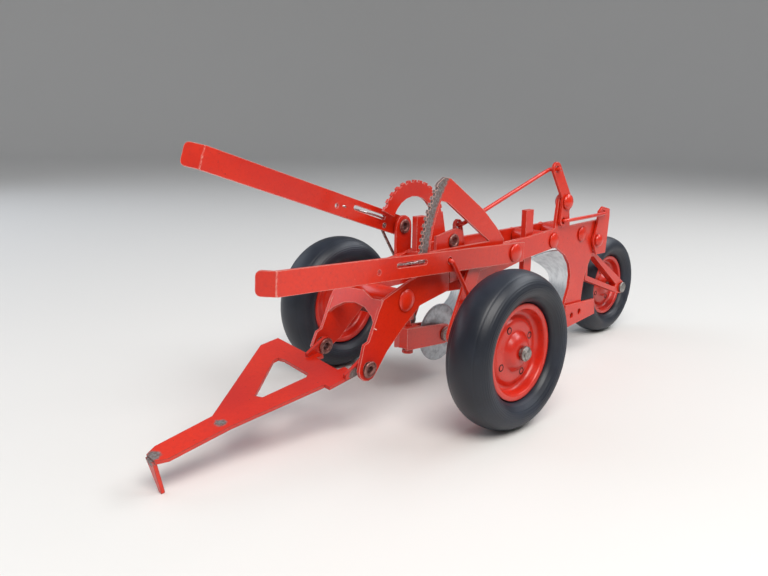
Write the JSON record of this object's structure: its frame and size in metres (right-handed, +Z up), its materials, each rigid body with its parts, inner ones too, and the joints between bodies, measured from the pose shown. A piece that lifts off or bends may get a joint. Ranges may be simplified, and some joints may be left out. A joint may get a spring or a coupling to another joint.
{
  "type": "toy trailed plough",
  "caption": "Toy trailed plough in pressed steel: red frame on three rubber-tyred wheels, silver mouldboards, disc coulters, notched lever quadrants, hinged hitch.",
  "frame": {"origin": "centre of the bounding box's underside, on the table the three wheels and the hitch hook stand on", "axes": "+X forwards towards the hitch, +Y to the plough's left (the unploughed land side), +Z up"},
  "size_m": [0.2802, 0.1098, 0.0974],
  "materials": {
    "red_enamel": "glossy orange-red enamel, worn along edges",
    "silver": "bright silver paint, scuffed",
    "steel": "plain dulled steel",
    "tyre_rubber": "smooth blue-black rubber"
  },
  "bodies": {
    "frame": {"front_yoke": "red_enamel", "left_beam": "red_enamel", "right_beam": "red_enamel", "front_cross_tube": "red_enamel", "mid_cross_tube": "red_enamel", "rear_cross_tube": "red_enamel", "rear_landside": "red_enamel", "front_landside": "red_enamel", "rear_mouldboard": "silver", "front_mouldboard": "silver", "rear_share": "silver", "front_share": "silver", "front_coulter_post": "red_enamel", "rear_coulter_post": "red_enamel", "front_coulter_clamp": "red_enamel", "rear_coulter_clamp": "red_enamel", "left_quadrant": "red_enamel", "right_quadrant": "red_enamel", "right_lever_bracket": "red_enamel", "right_lever_rivet": "steel", "left_lever_rivet": "red_enamel", "beam_bracket": "red_enamel", "beam_bracket_rivet": "steel", "rocker_rivet": "red_enamel", "tail_rivet": "red_enamel", "left_ear_rivet": "steel", "right_ear_rivet": "steel"},
    "left_lever_body": {"left_lever": "red_enamel", "left_latch_wire": "steel"},
    "land_link_body": {"land_link": "red_enamel"},
    "land_crank": {"land_crank_arm": "red_enamel", "land_crank_shaft": "steel", "lift_arm": "red_enamel", "land_axle": "steel"},
    "land_wheel": {"land_tyre": "tyre_rubber", "land_rim": "red_enamel"},
    "lift_rod_body": {"lift_rod": "red_enamel"},
    "rocker": {"rear_rocker": "red_enamel"},
    "tail_rod_body": {"tail_rod": "red_enamel"},
    "tail_carrier": {"tail_bracket": "red_enamel", "tail_fork": "red_enamel", "tail_axle": "steel"},
    "tail_wheel": {"tail_tyre": "tyre_rubber", "tail_rim": "red_enamel"},
    "right_lever_body": {"right_lever": "red_enamel", "right_latch_wire": "steel"},
    "furrow_link_body": {"furrow_link": "red_enamel"},
    "furrow_crank": {"furrow_crank_arm": "red_enamel", "furrow_crank_shaft": "steel", "furrow_axle": "steel"},
    "furrow_wheel": {"furrow_tyre": "tyre_rubber", "furrow_rim": "red_enamel"},
    "drawbar_body": {"drawbar": "red_enamel"},
    "front_coulter": {"front_coulter_fork": "red_enamel", "front_coulter_rivet": "steel"},
    "front_disc": {"front_coulter_disc": "steel"},
    "rear_coulter": {"rear_coulter_fork": "red_enamel", "rear_coulter_rivet": "steel"},
    "rear_disc": {"rear_coulter_disc": "steel"}
  },
  "joints": [
    {"name": "left_lever_swing", "type": "hinge", "parent": "frame", "child": "left_lever_body", "pos_m": [-0.00756, 0.0235, 0.055], "axis": [0, -1, 0], "range_deg": [0, 12]},
    {"name": "land_link_pivot", "type": "hinge", "parent": "left_lever_body", "child": "land_link_body", "pos_m": [0.03204, 0.0252, 0.0568], "axis": [0, -1, 0], "range_deg": [0, 11.33]},
    {"name": "land_crank_turn", "type": "hinge", "parent": "frame", "child": "land_crank", "pos_m": [0.01394, 0.0217, 0.0535], "axis": [0, -1, 0], "range_deg": [0, 30.97]},
    {"name": "lift_rod_pivot", "type": "hinge", "parent": "land_crank", "child": "lift_rod_body", "pos_m": [0.01654, 0.0145, 0.067], "axis": [0, -1, 0], "range_deg": [-34.03, 0]},
    {"name": "rocker_turn", "type": "hinge", "parent": "frame", "child": "rocker", "pos_m": [-0.05056, 0.0193, 0.0715], "axis": [0, -1, 0], "range_deg": [0, 23.7]},
    {"name": "tail_rod_pivot", "type": "hinge", "parent": "rocker", "child": "tail_rod_body", "pos_m": [-0.04856, 0.0193, 0.0637], "axis": [0, -1, 0], "range_deg": [-22.48, 0]},
    {"name": "tail_carrier_turn", "type": "hinge", "parent": "frame", "child": "tail_carrier", "pos_m": [-0.07916, 0.0193, 0.0523], "axis": [0, -1, 0], "range_deg": [-13.98, 0]},
    {"name": "right_lever_swing", "type": "hinge", "parent": "frame", "child": "right_lever_body", "pos_m": [0.02394, -0.0083, 0.065], "axis": [0, -1, 0], "range_deg": [0, 35]},
    {"name": "furrow_link_pivot", "type": "hinge", "parent": "right_lever_body", "child": "furrow_link_body", "pos_m": [0.03234, -0.0103, 0.0658], "axis": [0, -1, 0], "range_deg": [-25.51, 0]},
    {"name": "furrow_crank_turn", "type": "hinge", "parent": "frame", "child": "furrow_crank", "pos_m": [0.00794, -0.0057, 0.052], "axis": [0, -1, 0], "range_deg": [0, 15.29]},
    {"name": "land_wheel_spin", "type": "hinge", "parent": "land_crank", "child": "land_wheel", "pos_m": [0.02594, 0.0465, 0.028], "axis": [0, -1, 0], "continuous": true},
    {"name": "furrow_wheel_spin", "type": "hinge", "parent": "furrow_crank", "child": "furrow_wheel", "pos_m": [0.02004, -0.0465, 0.028], "axis": [0, -1, 0], "continuous": true},
    {"name": "tail_wheel_spin", "type": "hinge", "parent": "tail_carrier", "child": "tail_wheel", "pos_m": [-0.11576, 0.0025, 0.0243], "axis": [0, -1, 0], "continuous": true},
    {"name": "drawbar_pitch", "type": "hinge", "parent": "frame", "child": "drawbar_body", "pos_m": [0.06764, 0.0077, 0.02605], "axis": [0, -0.9875, 0.1575], "range_deg": [-15, 40]},
    {"name": "front_coulter_swivel", "type": "hinge", "parent": "frame", "child": "front_coulter", "pos_m": [0.02744, 0.001, 0.022], "axis": [0, 0, 1], "range_deg": [-8, 8]},
    {"name": "front_disc_spin", "type": "hinge", "parent": "front_coulter", "child": "front_disc", "pos_m": [0.00944, 0.001, 0.022], "axis": [0, -1, 0], "continuous": true},
    {"name": "rear_coulter_swivel", "type": "hinge", "parent": "frame", "child": "rear_coulter", "pos_m": [-0.02366, 0.015, 0.022], "axis": [0, 0, 1], "range_deg": [-8, 8]},
    {"name": "rear_disc_spin", "type": "hinge", "parent": "rear_coulter", "child": "rear_disc", "pos_m": [-0.04166, 0.015, 0.022], "axis": [0, -1, 0], "continuous": true}
  ],
  "couplings": [
    {"joint": "land_crank_turn", "follows": "left_lever_swing", "ratio": 2.514},
    {"joint": "land_link_pivot", "follows": "left_lever_swing", "ratio": 0.909},
    {"joint": "lift_rod_pivot", "follows": "left_lever_swing", "ratio": -2.764},
    {"joint": "rocker_turn", "follows": "left_lever_swing", "ratio": 1.92},
    {"joint": "tail_rod_pivot", "follows": "left_lever_swing", "ratio": -1.82},
    {"joint": "tail_carrier_turn", "follows": "left_lever_swing", "ratio": -1.126},
    {"joint": "furrow_crank_turn", "follows": "right_lever_swing", "ratio": 0.4227},
    {"joint": "furrow_link_pivot", "follows": "right_lever_swing", "ratio": -0.709}
  ]
}
